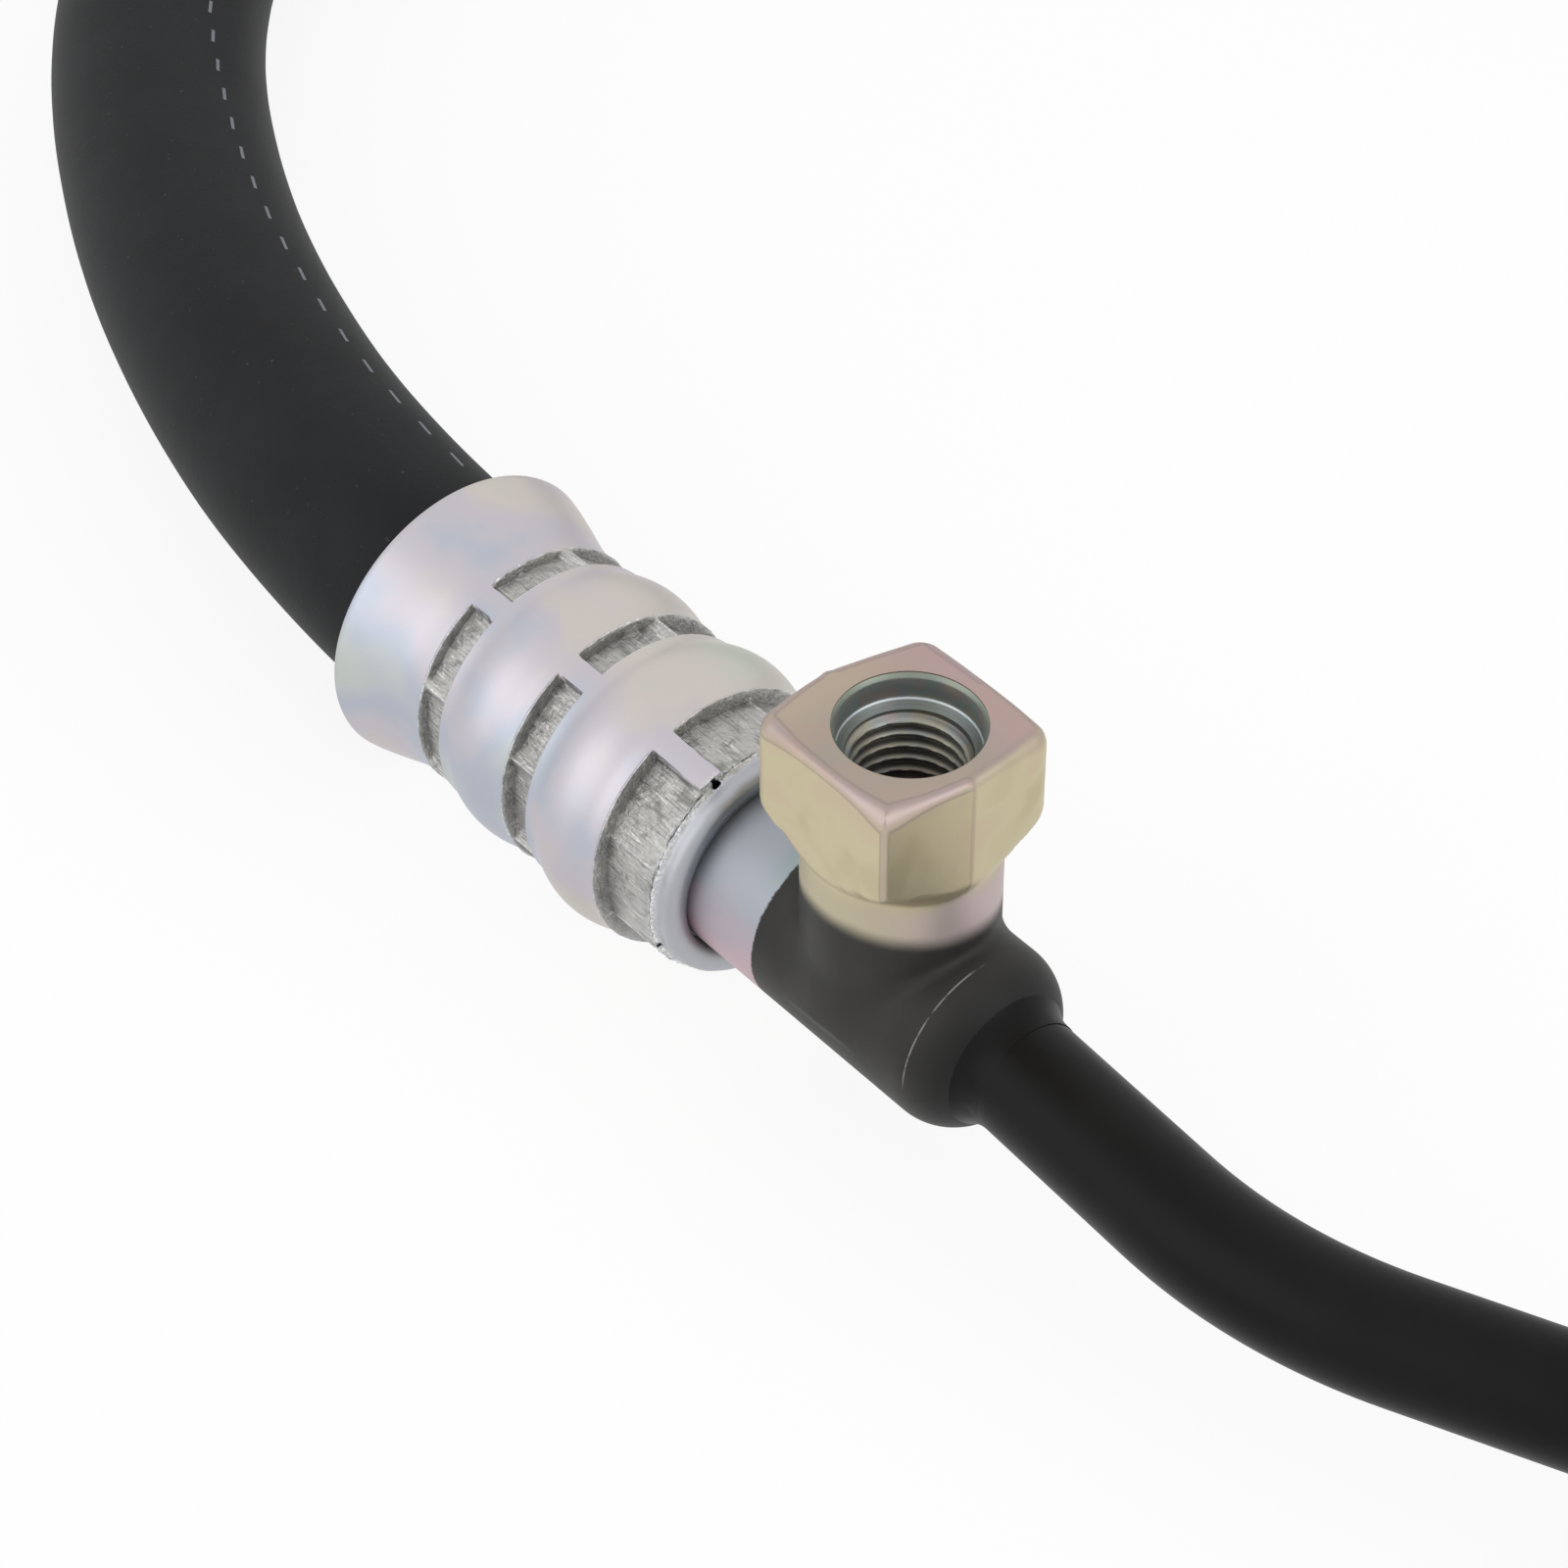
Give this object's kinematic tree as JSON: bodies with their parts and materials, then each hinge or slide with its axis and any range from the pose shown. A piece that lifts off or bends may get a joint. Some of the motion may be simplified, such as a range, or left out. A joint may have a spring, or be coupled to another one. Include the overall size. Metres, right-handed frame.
{
  "type": "hydraulic hose assembly",
  "caption": "Braided rubber pressure hose crimped to a tee fitting with a threaded switch port, a bent steel tube with union nut, and a banjo eye on its far end.",
  "frame": {"origin": "axis of the switch port at the first turn of its thread, under the counterbore", "axes": "+X along the tee and the union nut, from the hose towards the tube; +Z out of the switch port; +Y to the left of +X"},
  "size_m": [0.328, 0.217, 0.0403],
  "materials": {
    "zinc_ferrule": "satin bright zinc with faint iridescence",
    "plated_steel": "satin zinc plate",
    "braze": "dull braze metal",
    "port_forging": "yellow zinc plate, black paint on the lower body",
    "black_paint": "satin black paint",
    "zinc_nut": "satin zinc plate",
    "o_ring_rubber": "smooth black rubber",
    "liner_rubber": "matte black rubber",
    "braid_yarn": "textile braid",
    "cover_rubber": "matte black rubber cover"
  },
  "bodies": {
    "hose_line": {"ferrule": "zinc_ferrule", "nipple": "plated_steel", "nipple_braze_ring": "braze", "tee_body": "port_forging", "tube_braze_fillet": "black_paint", "steel_tube": "black_paint", "tube_o_ring": "o_ring_rubber", "hose_liner": "liner_rubber", "inner_braid": "braid_yarn", "interlayer": "liner_rubber", "outer_braid": "braid_yarn", "hose_cover": "cover_rubber", "far_ferrule": "zinc_ferrule", "far_nipple": "plated_steel", "far_braze_ring": "braze", "banjo_eye": "plated_steel"},
    "union_nut": {"tube_nut": "zinc_nut"}
  },
  "joints": [
    {"name": "union_spin", "type": "hinge", "parent": "hose_line", "child": "union_nut", "pos_m": [0.1139, 0.01574, -0.02455], "axis": [1, 0, 0], "continuous": true}
  ]
}
